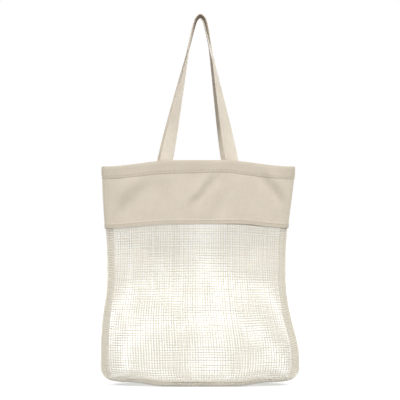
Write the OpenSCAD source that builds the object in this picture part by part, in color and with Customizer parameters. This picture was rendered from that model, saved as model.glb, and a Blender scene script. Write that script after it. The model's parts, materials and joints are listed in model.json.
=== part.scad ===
// Mesh produce bag: a cotton tote with a net body, a canvas band round its mouth and two
// canvas strap handles. It stands opened out on its flat underside, with both handles up.
// +X is the bag's right, -Y its front and +Z up. The origin is the middle of the underside.

/* [Bag body] */
// Width of the bag across its rim
rim_width = 379; // [360:1:400]
// Width of the bag at its waist, under the band
waist_width = 352; // [330:1:370]
// Width of the bag at its bulge, near the bottom
bulge_width = 393; // [370:1:410]
// Height of the rim above the ground, at its middle
rim_height = 443; // [420:1:470]
// Drop of the rim from its middle to its two corners
rim_drop = 12; // [0:1:20]
// Depth of the open mouth, front to back
mouth_depth = 56; // [50:1:70]
// Depth of the bulge, front to back
bulge_depth = 116; // [100:1:130]
// Height of the deepest part of the bulge
bulge_height = 80; // [70:1:95]
// Depth of the flat underside, front to back
foot_depth = 76; // [60:1:84]
// Radius of the two bottom corners
corner_radius = 28; // [20:1:36]
// Rise of the underside towards its two corners
corner_lift = 6; // [0:1:10]
// Sideways drift of the waist from the middle of the underside
waist_drift = -7; // [-10:1:10]

/* [Cloth] */
// Thickness of the net
net_thickness = 1.2; // [0.8:0.1:1.4]
// Thickness of the canvas
canvas_thickness = 1; // [0.8:0.1:1.2]
// Height of the canvas band at the middle
band_height = 125.5; // [110:0.5:140]
// Extra drop of the band's lower edge towards the corners
band_edge_drop = 8; // [0:1:12]
// Height of the hem that is turned in along the rim
hem_height = 24.5; // [20:0.5:30]
// Height of the fold along the band's lower edge
fold_height = 8; // [6:0.5:12]
// Width of the tape that binds the seams inside
binding_width = 13; // [10:0.5:15]

/* [Handles] */
// Width of the handle straps
strap_width = 25; // [20:1:28]
// Thickness of the handle straps
strap_thickness = 1.6; // [1.2:0.1:1.8]
// Distance between the two feet of a handle, centre to centre
strap_spacing = 128; // [110:1:140]
// Height of a raised handle above the rim
handle_rise = 285; // [250:1:320]
// Radius of the bend at the top of a raised handle
top_bend_radius = 12; // [10:1:16]
// Sideways shift of the front handle's feet
front_foot_shift = -2; // [-6:0.5:6]
// Sideways shift of the front handle's top
front_top_shift = 3.5; // [-6:0.5:6]
// Sideways shift of the back handle's feet
back_foot_shift = -9; // [-12:0.5:6]
// Sideways shift of the back handle's top
back_top_shift = -3.5; // [-6:0.5:6]
// Length of strap that is sewn down inside the hem
sewn_length = 26; // [22:1:30]

/* [Stitching] */
// Thickness of the sewing thread
thread = 0.8; // [0.6:0.1:1]

/* [Hidden] */

// Colours of the cotton
canvas_color = [0.86, 0.81, 0.74];
net_color = [0.93, 0.91, 0.86];
strap_color = [0.88, 0.84, 0.78];
tape_color = [0.87, 0.83, 0.76];
thread_color = [0.80, 0.75, 0.66];

// Heights between which the sides narrow from the bulge to the waist
narrow_from = 45;
narrow_to = 215;
// Height from which the sides widen again towards the rim
widen_from = 240;
// Height at which the front and back stop leaning in towards the mouth
lean_to = 330;
// Height by which the rise of the underside has faded out
lift_fade = 70;
// Half-widths of the underside between which it starts and stops rising
lift_from = 72;
lift_to = 130;
// Height by which the body has drifted sideways, height above which it drifts back to the
// middle, and the share of the drift that it goes back by
drift_to = 155;
drift_back_from = 300;
drift_back = 0.55;
// How much shorter the bottom seam is than the underside, at each end
seam_inset = 14;
// Roundness of the bag in plan, near the bottom and at the rim: 2 is an ellipse
bulge_squareness = 2.3;
rim_squareness = 4;
// Half of the gap between the front and the back along the seams
seam_gap = 0.15;
// Shares of the half-width between which the rim drops, and from which the band's edge drops
rim_drop_from = 0.25;
rim_drop_to = 0.95;
edge_drop_from = 0.3;
// Air left between two layers of cloth
clearance = 0.2;
// Height of wall for each whole step of a level past 2
wall_step = 100;

// The canvas lies outside the net, offset from the middle of the net's thickness
canvas_inside = net_thickness / 2 + clearance;
canvas_outside = canvas_inside + canvas_thickness;
// The turned-in layers of the hem, and the turned-up layer of the lower fold
hem_layers = 1.8;
fold_layer = 0.8;
hem_inside = canvas_inside - hem_layers;
fold_outside = canvas_outside + fold_layer;
// How much the band is rounded at its lower edge and at the rim
edge_rounding = 0.5;
rim_rounding = 0.6;
// Length of net that is covered by the band
net_overlap = 12;

// Steps across the bag and up it
across_steps = 32;
round_steps = 11;
wall_steps = 12;

// The hinge line of the front handle, along the middle of the hem's thickness
hem_middle = (hem_inside + canvas_outside) / 2;
hinge_depth = mouth_depth / 2 + seam_gap + hem_middle;
hinge_rise = 0.4;
hinge_height = rim_height + hinge_rise;
// Gap between the straight strap and the inside of the hem, which curves towards the strap
// at the corners of the bag
hem_gap = 1.1;
// Distance from the hinge line to the middle of the strap, inside the hem
strap_inset = (canvas_outside - hem_inside) / 2 + hem_gap + strap_thickness / 2;
strap_depth = hinge_depth - strap_inset;
// Gap between the two handles at their tops, where they stand edge to edge
handles_gap = 1;
// Distance of the strap's middle from the middle plane, at the top of the handle
top_depth = (strap_width + handles_gap) / 2;
// Gap between the hinge line and the strap above it
hinge_gap = 0.3;
// Distance from the hinge line down to the sewn end of the strap
end_gap = 0.8;
// Height of the middle of the bend at the top of a handle
bend_height = hinge_height + handle_rise - top_bend_radius;
// Lean of the handle's legs from upright
leg_reach = strap_spacing / 2;
leg_rise = bend_height - hinge_height - hinge_gap;
leg_lean = atan(leg_reach / leg_rise) - asin(top_bend_radius / norm([leg_reach, leg_rise]));
leg_length = sqrt(leg_reach * leg_reach + leg_rise * leg_rise - top_bend_radius * top_bend_radius);
// How fast a strap turns edge-on to the front as it rises: 1 is steadily
turn_power = 1.8;
leg_steps = 20;
bend_steps = 10;

// ---- Small helpers ----

// Moves smoothly from 0 to 1 as x goes from one value to another
function ease(x, from, to) =
    let (t = min(1, max(0, (x - from) / (to - from)))) t * t * (3 - 2 * t);

function mix(a, b, t) = a + (b - a) * t;

function unit(v) = v / norm(v);

function flat_list(rows) = [for (row = rows) each row];

// ---- Shape of the bag's body ----

// Half-width of the bag at height z, without its rounded corners
function half_width(z) =
    mix(bulge_width, waist_width, ease(z, narrow_from, narrow_to)) / 2
    + (rim_width - waist_width) / 2 * ease(z, widen_from, rim_height);

// What the rounded bottom corner takes off the half-width at height z
function corner_cut(z) =
    let (q = max(0, 1 - z / corner_radius)) corner_radius * (1 - sqrt(1 - q * q));

// Sideways place of the middle of the bag at height z
function drift(z) =
    waist_drift * (ease(z, narrow_from, drift_to) - drift_back * ease(z, drift_back_from, rim_height));

// A level runs from 0 at the bottom seam to 1 at the edge of the underside, to 2 at the
// deepest part of the bulge, and then on up the wall.
function level_height(level) =
    level <= 1 ? 0
    : level < 2 ? bulge_height * (1 - cos(90 * (level - 1)))
    : bulge_height + wall_step * (level - 2);

function level_depth(level) =
    level <= 1 ? foot_depth / 2 * level
    : level < 2 ? mix(foot_depth, bulge_depth, sin(90 * (level - 1))) / 2
    : mix(bulge_depth, mouth_depth, ease(level_height(level), bulge_height, lean_to)) / 2;

function wall_level(z) = 2 + (z - bulge_height) / wall_step;

// Bulge of the plan's outline beyond a plain ellipse
function roundness(turn, squareness) =
    let (c = cos(turn) * cos(turn))
    c < 0.000001 ? sqrt(squareness / 2) : sqrt((1 - pow(abs(sin(turn)), squareness)) / c);

// A point of the front's middle surface. turn runs from -90 at the left seam to 90 at the right.
function body_point(turn, level) =
    let (
        z = level_height(level),
        reach = half_width(z) - corner_cut(z) - seam_inset * max(0, 1 - level),
        x = reach * sin(turn),
        squareness = mix(bulge_squareness, rim_squareness, ease(z, narrow_to, rim_height)),
        lift = corner_lift * ease(abs(x), lift_from, lift_to) * (1 - ease(z, 0, lift_fade))
    )
    [
        x + drift(z),
        -level_depth(level) * cos(turn) * roundness(turn, squareness) - seam_gap,
        z + net_thickness / 2 + lift
    ];

// The outward direction at a point of the front's middle surface
function body_normal(turn, level) =
    let (
        turn_step = 0.2,
        level_step = 0.002,
        safe_level = max(level, 0.05),
        across = body_point(turn + turn_step, safe_level) - body_point(turn - turn_step, safe_level),
        up = body_point(turn, safe_level + level_step) - body_point(turn, safe_level - level_step)
    )
    unit(cross(across, up));

// A point that stands off the middle surface by a distance, outwards
function cloth_point(turn, level, offset) =
    body_point(turn, level) + offset * body_normal(turn, level);

turns = [for (i = [0:across_steps]) -90 + 180 * i / across_steps];

// Height of the rim and of the band's lower edge, from the middle to the corners
function rim_line(turn) =
    rim_height - net_thickness / 2 - rim_drop * ease(abs(sin(turn)), rim_drop_from, rim_drop_to);

function band_edge_line(turn) =
    rim_height - net_thickness / 2 - band_height - band_edge_drop * ease(abs(sin(turn)), edge_drop_from, 1);

// ---- Solids from rows of points ----

// A sheet of cloth: a grid of outer points and the matching grid of inner points
module cloth(outer, inner) {
    rows = len(outer);
    columns = len(outer[0]);
    half = rows * columns;
    function at(r, c) = r * columns + c;
    // Each cell's diagonal runs up and towards the middle, so no triangle at a corner is flat
    function cell(a, b, c, d, left) = left ? [[a, b, c], [a, c, d]] : [[a, b, d], [b, c, d]];
    outside = [
        for (r = [0:rows - 2], c = [0:columns - 2])
            each cell(at(r, c), at(r + 1, c), at(r + 1, c + 1), at(r, c + 1), c < (columns - 1) / 2)
    ];
    inside = [for (f = outside) [f[2] + half, f[1] + half, f[0] + half]];
    function wall(a, b) = [[a, b, b + half], [a, b + half, a + half]];
    edges = concat(
        [for (c = [0:columns - 2]) each wall(at(0, c), at(0, c + 1))],
        [for (c = [0:columns - 2]) each wall(at(rows - 1, c + 1), at(rows - 1, c))],
        [for (r = [0:rows - 2]) each wall(at(r + 1, 0), at(r, 0))],
        [for (r = [0:rows - 2]) each wall(at(r, columns - 1), at(r + 1, columns - 1))]
    );
    polyhedron(
        points = concat(flat_list(outer), flat_list(inner)),
        faces = concat(outside, inside, edges),
        convexity = 6
    );
}

// A bar: rings of points along a path, closed at both ends
module bar(rings) {
    sides = len(rings[0]);
    last = (len(rings) - 1) * sides;
    walls = [
        for (r = [0:len(rings) - 2], s = [0:sides - 1])
            let (a = r * sides + s, b = r * sides + (s + 1) % sides)
            each [[a, b, b + sides], [a, b + sides, a + sides]]
    ];
    start = [for (s = [1:sides - 2]) [0, s + 1, s]];
    end = [for (s = [1:sides - 2]) [last, last + s, last + s + 1]];
    polyhedron(points = flat_list(rings), faces = concat(walls, start, end), convexity = 6);
}

// The back of the bag is the mirror image of its front
module to_back() {
    mirror([0, 1, 0]) children();
}

// ---- Net ----

net_levels = concat(
    [0, 0.25, 0.5, 0.75, 1],
    [for (i = [1:round_steps]) 1 + i / round_steps]
);

// Rows of the net panel, standing off its middle surface by a distance
function net_grid(offset) = concat(
    [for (level = net_levels) [for (turn = turns) cloth_point(turn, level, offset)]],
    [
        for (i = [1:wall_steps])
            [
                for (turn = turns)
                    let (z = mix(bulge_height, band_edge_line(turn) + net_overlap, i / wall_steps))
                    cloth_point(turn, wall_level(z), offset)
            ]
    ]
);

module mesh_panel() {
    color(net_color) cloth(net_grid(net_thickness / 2), net_grid(-net_thickness / 2));
}

// ---- Canvas band ----

// Each row: share of the height from the lower edge to the rim, distance past it, and the
// offsets of the inner and the outer face
band_rows = [
    [0, 0, canvas_inside, fold_outside - edge_rounding],
    [0, 1, canvas_inside, fold_outside],
    [0, fold_height - 1, canvas_inside, fold_outside],
    [0, fold_height, canvas_inside, canvas_outside],
    [0.25, 0, canvas_inside, canvas_outside],
    [0.45, 0, canvas_inside, canvas_outside],
    [0.62, 0, canvas_inside, canvas_outside],
    [1, -hem_height, canvas_inside, canvas_outside],
    [1, 1 - hem_height, hem_inside, canvas_outside],
    [1, -hem_height / 2, hem_inside, canvas_outside],
    [1, -1, hem_inside, canvas_outside],
    [1, 0, hem_inside + rim_rounding, canvas_outside - rim_rounding]
];

function band_grid(face) = [
    for (row = band_rows)
        [
            for (turn = turns)
                let (z = mix(band_edge_line(turn), rim_line(turn), row[0]) + row[1])
                cloth_point(turn, wall_level(z), row[face])
        ]
];

module canvas_band() {
    color(canvas_color) cloth(band_grid(3), band_grid(2));
}

// ---- Seams ----

// Heights at which a side seam's tape and the net end, and the height in which the seam
// moves out from the net to the band
seam_top = rim_line(90) - hem_height - 1;
net_top = band_edge_line(90) + net_overlap;
step_out = 6;
// Air between the seams' tape and the cloth outside it
tape_gap = 0.35;
// Half of the thickness of the overcast threads along the seams
seam_thread = 0.64;
// Levels of a side seam, from the corner to its top
first_level = 3;
seam_levels = concat(
    [for (i = [first_level:round_steps]) 1 + i / round_steps],
    [for (i = [1:wall_steps]) wall_level(mix(bulge_height, seam_top, i / wall_steps))]
);

// Offset of the seam's inner parts: further out in the band, where there is no net
function seam_offset(level, in_net, in_band) =
    mix(in_net, in_band, ease(level_height(level), net_top, net_top + step_out));

// A point on the middle plane of a side seam. side is -1 for the left and 1 for the right.
function seam_point(side, level, offset) =
    let (p = cloth_point(90 * side, level, offset)) [p[0], 0, p[2]];

module side_binding(side) {
    tape = net_thickness / 2;
    rings = [
        for (level = seam_levels)
            let (
                outer_offset = seam_offset(level, -net_thickness / 2 - tape_gap, canvas_inside - tape_gap),
                p = seam_point(side, level, outer_offset),
                q = seam_point(side, level, outer_offset - binding_width)
            )
            [p + [0, tape, 0], q + [0, tape, 0], q - [0, tape, 0], p - [0, tape, 0]]
    ];
    color(tape_color) bar(side < 0 ? rings : [for (ring = rings) [ring[3], ring[2], ring[1], ring[0]]]);
}

module side_stitching(side) {
    rings = [
        for (level = seam_levels)
            let (p = seam_point(side, level, seam_offset(level, -net_thickness / 2, canvas_inside)))
            [for (k = [0:5]) p + seam_thread * [side * cos(60 * k), -side * sin(60 * k), 0]]
    ];
    color(thread_color) bar(side < 0 ? rings : [for (ring = rings) [for (k = [5:-1:0]) ring[k]]]);
}

// Half-length of the bottom seam's tape, and its places along X
bottom_seam_reach = 145;
bottom_steps = 20;
bottom_places = [for (i = [0:bottom_steps]) mix(-bottom_seam_reach, bottom_seam_reach, i / bottom_steps)];

// Height of the inside of the underside at place x
function floor_inside(x) =
    net_thickness + corner_lift * ease(abs(x), lift_from, lift_to);

module bottom_binding() {
    low = tape_gap;
    high = low + net_thickness;
    front = -1;
    back = binding_width - 1;
    rings = [
        for (x = bottom_places)
            let (z = floor_inside(x))
            [[x, front, z + low], [x, back, z + low], [x, back, z + high], [x, front, z + high]]
    ];
    color(tape_color) bar([for (ring = rings) [ring[3], ring[2], ring[1], ring[0]]]);
}

module bottom_stitching() {
    bottom_lift = 0.15;
    rings = [
        for (x = bottom_places)
            [for (k = [0:5]) [x, 0, floor_inside(x) + bottom_lift] + seam_thread * [0, cos(60 * k), sin(60 * k)]]
    ];
    color(thread_color) bar([for (ring = rings) [for (k = [5:-1:0]) ring[k]]]);
}

// A row of stitches across the front, at a height for each turn and an offset outwards
module row_of_stitches(heights, offset) {
    rings = [
        for (i = [1:across_steps - 1])
            let (
                level = wall_level(heights[i]),
                p = cloth_point(turns[i], level, offset),
                n = body_normal(turns[i], level) * thread / 2,
                up = [0, 0, thread / 2]
            )
            [p + n, p + up, p - n, p - up]
    ];
    color(thread_color) bar(rings);
}

// Distances from a row of stitches to the edge of the layer that it holds down
hem_margin = 3;
fold_margin = 2.5;

module hem_stitching() {
    row_of_stitches([for (turn = turns) rim_line(turn) - hem_height + hem_margin], canvas_outside);
}

module band_edge_stitching() {
    row_of_stitches([for (turn = turns) band_edge_line(turn) + fold_height - fold_margin], fold_outside);
}

// ---- Handles ----

// Places along a handle's middle line, before it leans: [x from its middle, z, heading],
// where the heading is 0 when the strap runs straight up
handle_path = concat(
    [
        for (i = [0:leg_steps])
            let (s = leg_length * i / leg_steps)
            [-leg_reach + s * sin(leg_lean), hinge_height + hinge_gap + s * cos(leg_lean), leg_lean]
    ],
    [
        for (i = [1:bend_steps - 1])
            let (heading = mix(leg_lean, 180 - leg_lean, i / bend_steps))
            [-top_bend_radius * cos(heading), bend_height + top_bend_radius * sin(heading), heading]
    ],
    [
        for (i = [leg_steps:-1:0])
            let (s = leg_length * i / leg_steps)
            [leg_reach - s * sin(leg_lean), hinge_height + hinge_gap + s * cos(leg_lean), 180 - leg_lean]
    ]
);

// Share of the handle's height at height z
function rise_share(z) = (z - hinge_height) / handle_rise;

// One ring of a strap: a rectangle from width a to width b and of a thickness. The strap
// lies flat to the front at its feet and turns edge-on towards the top. shifts are the
// sideways shifts of the handle's feet and of its top.
function strap_ring(place, shifts, a, b, thickness) =
    let (
        share = rise_share(place[1]),
        at_foot = place[1] < hinge_height + 2 * hinge_gap,
        turn = 90 * (1 - pow(max(0, 1 - share), turn_power)),
        heading = place[2],
        along = [sin(heading), 0, cos(heading)],
        side = [cos(heading), 0, -sin(heading)],
        wide = at_foot ? [1 / cos(heading), 0, 0] : cos(turn) * side + [0, -sin(turn), 0],
        thick = at_foot ? [0, -1, 0] : cross(wide, along),
        middle = [
            place[0] + mix(shifts[0], shifts[1], share),
            -mix(strap_depth, top_depth, share),
            place[1]
        ],
        half = thickness / 2
    )
    [
        middle + wide * a + thick * half,
        middle + wide * b + thick * half,
        middle + wide * b - thick * half,
        middle + wide * a - thick * half
    ];

module handle_strap(shifts) {
    half = strap_width / 2;
    color(strap_color)
        bar([for (place = handle_path) strap_ring(place, shifts, -half, half, strap_thickness)]);
}

// Two lines of stitches, one near each edge of the strap
module handle_stitching(shifts) {
    edge_margin = 2.5;
    proud = 0.3;
    line = strap_width / 2 - edge_margin;
    for (middle = [-line, line])
        color(thread_color)
            bar([
                for (place = handle_path)
                    strap_ring(place, shifts, middle - thread / 2, middle + thread / 2,
                        strap_thickness + 2 * proud)
            ]);
}

// Sideways place of a handle's foot, and the lean of the leg that rises from it
function foot_place(side, foot_shift) = foot_shift + side * leg_reach;

// Places a flat shape drawn in X and Y upright, facing the front
module upright(depth, thickness) {
    translate([0, depth, 0])
        rotate([90, 0, 0])
            linear_extrude(thickness)
                children();
}

// The stretch of strap that is sewn down inside the hem
module handle_end(side, foot_shift) {
    half = strap_width / 2 / cos(leg_lean);
    top = hinge_height - end_gap;
    low = top - sewn_length;
    x = foot_place(side, foot_shift);
    slide = side * sewn_length * tan(leg_lean);
    color(strap_color)
        upright(-strap_depth + strap_thickness / 2, strap_thickness)
            polygon([
                [x - half, top],
                [x + half, top],
                [x + half + slide, low],
                [x - half + slide, low]
            ]);
}

// A box of stitches with a cross in it, through the strap and into the hem
module handle_tack(side, foot_shift) {
    box = 16;
    proud = 0.4;
    bite = 0.3;
    depth = proud + strap_thickness + hem_gap + bite;
    x = foot_place(side, foot_shift) + side * sewn_length / 2 * tan(leg_lean);
    z = hinge_height - end_gap - sewn_length / 2;
    color(thread_color)
        upright(-strap_depth + strap_thickness / 2 + proud, depth)
            translate([x, z])
                rotate(side * leg_lean) {
                    difference() {
                        square(box, center = true);
                        square(box - 2 * thread, center = true);
                    }
                    for (angle = [-45, 45])
                        rotate(angle)
                            square([box * sqrt(2) - 2 * thread, thread], center = true);
                }
}

// Shifts of the feet and of the top of each handle
front_shifts = [front_foot_shift, front_top_shift];
back_shifts = [back_foot_shift, back_top_shift];

// ---- The nodes ----

canvas_band();  // front_canvas_band
to_back() canvas_band();  // back_canvas_band
mesh_panel();  // front_mesh_panel
to_back() mesh_panel();  // back_mesh_panel
side_binding(-1);  // left_seam_binding
side_binding(1);  // right_seam_binding
bottom_binding();  // bottom_seam_binding
handle_strap(front_shifts);  // front_handle_strap
to_back() handle_strap(back_shifts);  // back_handle_strap
handle_end(-1, front_foot_shift);  // front_left_handle_end
handle_end(1, front_foot_shift);  // front_right_handle_end
to_back() handle_end(-1, back_foot_shift);  // back_left_handle_end
to_back() handle_end(1, back_foot_shift);  // back_right_handle_end
handle_tack(-1, front_foot_shift);  // front_left_handle_tack
handle_tack(1, front_foot_shift);  // front_right_handle_tack
to_back() handle_tack(-1, back_foot_shift);  // back_left_handle_tack
to_back() handle_tack(1, back_foot_shift);  // back_right_handle_tack
hem_stitching();  // front_hem_stitching
to_back() hem_stitching();  // back_hem_stitching
band_edge_stitching();  // front_band_edge_stitching
to_back() band_edge_stitching();  // back_band_edge_stitching
side_stitching(-1);  // left_seam_stitching
side_stitching(1);  // right_seam_stitching
bottom_stitching();  // bottom_seam_stitching
handle_stitching(front_shifts);  // front_handle_stitching
to_back() handle_stitching(back_shifts);  // back_handle_stitching
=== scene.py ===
# Looks of the mesh produce bag: a cotton tote with a net body, a canvas band round its mouth
# and two strap handles. Lengths here are millimetres until a mesh is made, and then metres.
import json
import math

import bpy
import numpy as np
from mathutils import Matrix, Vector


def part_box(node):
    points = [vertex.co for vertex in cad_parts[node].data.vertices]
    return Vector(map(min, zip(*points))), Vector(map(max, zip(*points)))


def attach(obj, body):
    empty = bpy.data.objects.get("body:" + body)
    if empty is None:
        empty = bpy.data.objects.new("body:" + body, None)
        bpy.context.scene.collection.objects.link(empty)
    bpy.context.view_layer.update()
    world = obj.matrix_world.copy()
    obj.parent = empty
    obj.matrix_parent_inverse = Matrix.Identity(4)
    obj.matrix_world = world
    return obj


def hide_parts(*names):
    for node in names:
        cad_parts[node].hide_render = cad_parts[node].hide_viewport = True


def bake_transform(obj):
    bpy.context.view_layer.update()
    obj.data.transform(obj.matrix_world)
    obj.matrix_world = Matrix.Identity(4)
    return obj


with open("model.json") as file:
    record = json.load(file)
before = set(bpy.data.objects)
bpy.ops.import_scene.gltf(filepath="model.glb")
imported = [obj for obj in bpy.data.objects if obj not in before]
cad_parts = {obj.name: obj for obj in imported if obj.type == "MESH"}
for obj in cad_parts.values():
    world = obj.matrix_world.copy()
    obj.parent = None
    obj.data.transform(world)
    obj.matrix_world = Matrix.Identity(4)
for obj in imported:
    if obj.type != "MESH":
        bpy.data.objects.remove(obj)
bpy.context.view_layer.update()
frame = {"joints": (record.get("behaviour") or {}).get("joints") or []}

MM = 0.001
QUARTER = math.pi / 2
FULL_TURN = 2 * math.pi
rng = np.random.default_rng(7)

# ---- sizes from the frame


def box_mm(node):
    low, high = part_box(node)
    return np.array(low) / MM, np.array(high) / MM


net_low, net_high = box_mm("front_mesh_panel")
band_low, band_high = box_mm("front_canvas_band")
strap_high = box_mm("front_handle_strap")[1]
left_end_low, left_end_high = box_mm("front_left_handle_end")
right_end_low, right_end_high = box_mm("front_right_handle_end")
hinges = {joint["child"]: np.array(joint["pos_m"]) / MM for joint in frame["joints"]}

# Offsets of the layers of cloth from the middle of the net, outwards
NET_HALF = 0.6
CANVAS_OUTSIDE = 1.8
HEM_MIDDLE = 0.4
SEAM_GAP = 0.15

RIM_HEIGHT = band_high[2]
RIM_WIDTH = band_high[0] - band_low[0] - 2 * CANVAS_OUTSIDE
WAIST_WIDTH = 352
# The sides draw in over the first span of heights, and spread again from the last height to the rim
WAIST_START = 45
WAIST_END = 215
SPREAD_START = 240
BULGE_WIDTH = net_high[0] - net_low[0] - 2 * NET_HALF
BULGE_HEIGHT = 80
BULGE_DEPTH = 2 * (-net_low[1] - SEAM_GAP - NET_HALF)
MOUTH_DEPTH = 2 * (-hinges["front_handle"][1] - SEAM_GAP - HEM_MIDDLE)
MOUTH_START = 330
FOOT_DEPTH = 76
# How far the bottom seam's ends stop short of the corners
SEAM_SHORTFALL = 14
CORNER_RADIUS = 28
# The underside rises at its corners: how much, between which distances from the middle, and up
# to which height
CORNER_LIFT = 6
LIFT_START = 72
LIFT_END = 130
LIFT_TOP = 70
# The bag leans to its left up the waist, and comes part of the way back above it
WAIST_DRIFT = -7
DRIFT_END = 155
DRIFT_BACK_START = 300
DRIFT_BACK = 0.55
# Exponents of the outline seen from above: rounded below, squarer at the rim
ROUNDED = 2.3
SQUARE = 4
WALL_STEP = 100
BAND_HEIGHT = 125.5
BAND_EDGE_DROP = 8
RIM_DROP = 12
HEM_HEIGHT = 24.5
NET_OVERLAP = 12

# ---- the bag's surface


def ease(x, low, high):
    t = np.clip((x - low) / (high - low), 0, 1)
    return t * t * (3 - 2 * t)


def mix(a, b, t):
    return a + (b - a) * t


def unit(v):
    return v / np.maximum(np.linalg.norm(v, axis=-1, keepdims=True), 1e-12)


def distances(path):
    """The distance along a path at each of its points."""
    return np.concatenate([[0], np.cumsum(np.linalg.norm(np.diff(path, axis=0), axis=1))])


def half_width(z):
    narrowed = mix(BULGE_WIDTH, WAIST_WIDTH, ease(z, WAIST_START, WAIST_END)) / 2
    return narrowed + (RIM_WIDTH - WAIST_WIDTH) / 2 * ease(z, SPREAD_START, RIM_HEIGHT)


def corner_cut(z):
    q = np.clip(1 - z / CORNER_RADIUS, 0, 1)
    return CORNER_RADIUS * (1 - np.sqrt(1 - q * q))


def drift(z):
    back = DRIFT_BACK * ease(z, DRIFT_BACK_START, RIM_HEIGHT)
    return WAIST_DRIFT * (ease(z, WAIST_START, DRIFT_END) - back)


def corner_rise(x):
    return CORNER_LIFT * ease(np.abs(x), LIFT_START, LIFT_END)


def level_height(level):
    """Height at a level: 0 is the bottom seam, 1 the underside's edge, 2 the deepest bulge."""
    low = BULGE_HEIGHT * (1 - np.cos(QUARTER * np.clip(level - 1, 0, 1)))
    return np.where(level < 2, low, BULGE_HEIGHT + WALL_STEP * (level - 2))


def level_depth(level):
    under = FOOT_DEPTH / 2 * np.clip(level, 0, 1)
    low = mix(FOOT_DEPTH, BULGE_DEPTH, np.sin(QUARTER * np.clip(level - 1, 0, 1))) / 2
    drawn_in = ease(level_height(level), BULGE_HEIGHT, MOUTH_START)
    wall = mix(BULGE_DEPTH, MOUTH_DEPTH, drawn_in) / 2
    return np.where(level <= 1, under, np.where(level < 2, low, wall))


def wall_level(z):
    return 2 + (z - BULGE_HEIGHT) / WALL_STEP


def body_point(turn, level):
    """A point of the front's middle surface. turn runs from one side seam to the other."""
    z = level_height(level)
    s, c = np.sin(turn), np.cos(turn)
    reach = half_width(z) - corner_cut(z) - SEAM_SHORTFALL * np.clip(1 - level, 0, 1)
    x = reach * s
    power = mix(ROUNDED, SQUARE, ease(z, WAIST_END, RIM_HEIGHT))
    square = np.maximum(c * c, 1e-9)
    rounded = np.sqrt(np.maximum(1 - np.abs(s) ** power, 0) / square)
    rounded = np.where(c * c < 1e-7, np.sqrt(power / 2), rounded)
    lift = corner_rise(x) * (1 - ease(z, 0, LIFT_TOP))
    y = -level_depth(level) * c * rounded - SEAM_GAP
    return np.stack([x + drift(z), y, z + NET_HALF + lift], -1)


def body_normal(turn, level):
    level = np.maximum(level, 0.05)
    turn_step, level_step = 0.0035, 0.002
    across = body_point(turn + turn_step, level) - body_point(turn - turn_step, level)
    up = body_point(turn, level + level_step) - body_point(turn, level - level_step)
    return unit(np.cross(across, up))


def rim_line(turn):
    return RIM_HEIGHT - NET_HALF - RIM_DROP * ease(np.abs(np.sin(turn)), 0.25, 0.95)


def band_edge_line(turn):
    drop = BAND_EDGE_DROP * ease(np.abs(np.sin(turn)), 0.3, 1)
    return RIM_HEIGHT - NET_HALF - BAND_HEIGHT - drop


# ---- folds of the hanging cloth


WAVE_COUNT = 4
WAVE_HEIGHT = 0.85
# The middle of a handle's sewn end, from the middle of the bag
SEWN_END_X = 68


class Folds:
    """The soft folds of one face of the bag: how far its cloth stands out at x and z."""

    def __init__(self, seed, creases):
        own = np.random.default_rng(seed)
        self.creases = creases
        self.waves = []
        for _ in range(WAVE_COUNT):
            length = own.uniform(42, 95)
            phase = own.uniform(0, FULL_TURN)
            lean = own.uniform(-0.22, 0.22)
            self.waves.append((length, phase, lean))

    def __call__(self, x, z):
        out = np.zeros(np.broadcast(x, z).shape)
        for x0, z0, x1, z1, width, height in self.creases:
            dx, dz = x1 - x0, z1 - z0
            length = math.hypot(dx, dz)
            along = ((x - x0) * dx + (z - z0) * dz) / length**2
            across = ((x - x0) * dz - (z - z0) * dx) / length
            shown = ease(along, -0.35, 0.3) * (1 - ease(along, 0.7, 1.35))
            s = across / width
            out = out + height * shown * s * np.exp(0.5 - s * s)
        # no crease where a handle is sewn on, nor at the side seams
        sewn = ease(z, 396, 412) * (1 - ease(np.abs(np.abs(x) - SEWN_END_X), 16, 34))
        out = out * (1 - sewn) * (1 - ease(np.abs(x), 150, 176))
        # the waves are in the net alone, and fade towards its edges
        in_net = ease(z, 20, 110) * (1 - ease(z, WAIST_END, 306))
        sides = 1 - ease(np.abs(x), 125, 172)
        for length, phase, lean in self.waves:
            wave = np.sin(FULL_TURN * (x + lean * z) / length + phase)
            out = out + WAVE_HEIGHT * in_net * sides * wave
        return out


# Each crease runs from x, z to x, z, and has a width and a height
front_folds = Folds(3, [
    (-178, 338, -110, 400, 22, -4.8),
    (26, 412, -14, 362, 12, 4.0),
    (128, 412, 180, 356, 15, -4.6),
    (46, 388, 26, 338, 14, 2.4),
    (-84, 326, -50, 388, 24, 2.0),
])
back_folds = Folds(11, [
    (152, 345, 84, 408, 20, -4.6),
    (-30, 416, -4, 362, 12, 3.4),
    (-132, 408, -170, 352, 15, 4.2),
    (44, 340, 22, 396, 24, 2.2),
])


def off_surface(turn, level, folds, offset):
    """A point at an offset from the middle surface and its folds, and the surface's normal."""
    p = body_point(turn, level)
    n = body_normal(turn, level)
    stand = offset + folds(p[..., 0], p[..., 2])
    return p + stand[..., None] * n, n


# ---- meshes

SMOOTH_BELOW = math.radians(62)
to_back = np.array([1, -1, 1])


def add_object(name, data):
    added = bpy.data.objects.new(name, data)
    bpy.context.scene.collection.objects.link(added)
    return added


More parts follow.
